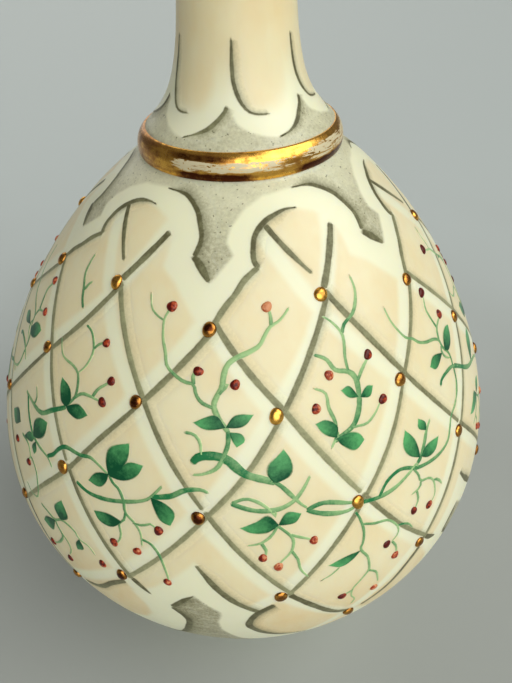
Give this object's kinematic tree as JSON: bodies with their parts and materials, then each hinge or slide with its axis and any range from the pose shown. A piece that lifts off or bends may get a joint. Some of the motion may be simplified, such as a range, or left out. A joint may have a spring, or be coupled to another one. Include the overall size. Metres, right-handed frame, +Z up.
{
  "type": "carafe",
  "caption": "Globe-bodied painted opal glass carafe with a slender neck, a gilded collar, raised gilt beads and a ground-in pointed stopper.",
  "frame": {"origin": "centre of the foot ring, on the surface the carafe stands on", "axes": "+Z up through the body; the painted front of the picture faces -Y, and the neck leans 1.4 degrees towards -X"},
  "size_m": [0.1414, 0.1414, 0.2861],
  "materials": {
    "painted_opal_glass": "satin opal glass with soft painted trellis and sprigs",
    "opal_glass": "satin opal glass",
    "gilding": "burnished gilding, rubbed where it is touched",
    "trellis_enamel": "thin translucent grey brown enamel",
    "leaf_enamel": "thin translucent green enamel",
    "berry_enamel": "raised brick red enamel"
  },
  "bodies": {
    "vessel": {"vessel": "painted_opal_glass", "neck_collar": "gilding", "bead_top_01": "gilding", "bead_top_02": "gilding", "bead_top_03": "gilding", "bead_top_04": "gilding", "bead_top_05": "gilding", "bead_top_06": "gilding", "bead_top_07": "gilding", "bead_top_08": "gilding", "bead_top_09": "gilding", "bead_top_10": "gilding", "bead_top_11": "gilding", "bead_top_12": "gilding", "bead_upper_01": "gilding", "bead_upper_02": "gilding", "bead_upper_03": "gilding", "bead_upper_04": "gilding", "bead_upper_05": "gilding", "bead_upper_06": "gilding", "bead_upper_07": "gilding", "bead_upper_08": "gilding", "bead_upper_09": "gilding", "bead_upper_10": "gilding", "bead_upper_11": "gilding", "bead_upper_12": "gilding", "bead_middle_01": "gilding", "bead_middle_02": "gilding", "bead_middle_03": "gilding", "bead_middle_04": "gilding", "bead_middle_05": "gilding", "bead_middle_06": "gilding", "bead_middle_07": "gilding", "bead_middle_08": "gilding", "bead_middle_09": "gilding", "bead_middle_10": "gilding", "bead_middle_11": "gilding", "bead_middle_12": "gilding", "bead_lower_01": "gilding", "bead_lower_02": "gilding", "bead_lower_03": "gilding", "bead_lower_04": "gilding", "bead_lower_05": "gilding", "bead_lower_06": "gilding", "bead_lower_07": "gilding", "bead_lower_08": "gilding", "bead_lower_09": "gilding", "bead_lower_10": "gilding", "bead_lower_11": "gilding", "bead_lower_12": "gilding", "bead_bottom_01": "gilding", "bead_bottom_02": "gilding", "bead_bottom_03": "gilding", "bead_bottom_04": "gilding", "bead_bottom_05": "gilding", "bead_bottom_06": "gilding"},
    "stopper": {"stopper": "opal_glass"}
  },
  "joints": [
    {"name": "stopper_lift", "type": "slide", "parent": "vessel", "child": "stopper", "axis": [-0.0244, 0, 0.9997], "range_m": [0, 0.04]}
  ]
}
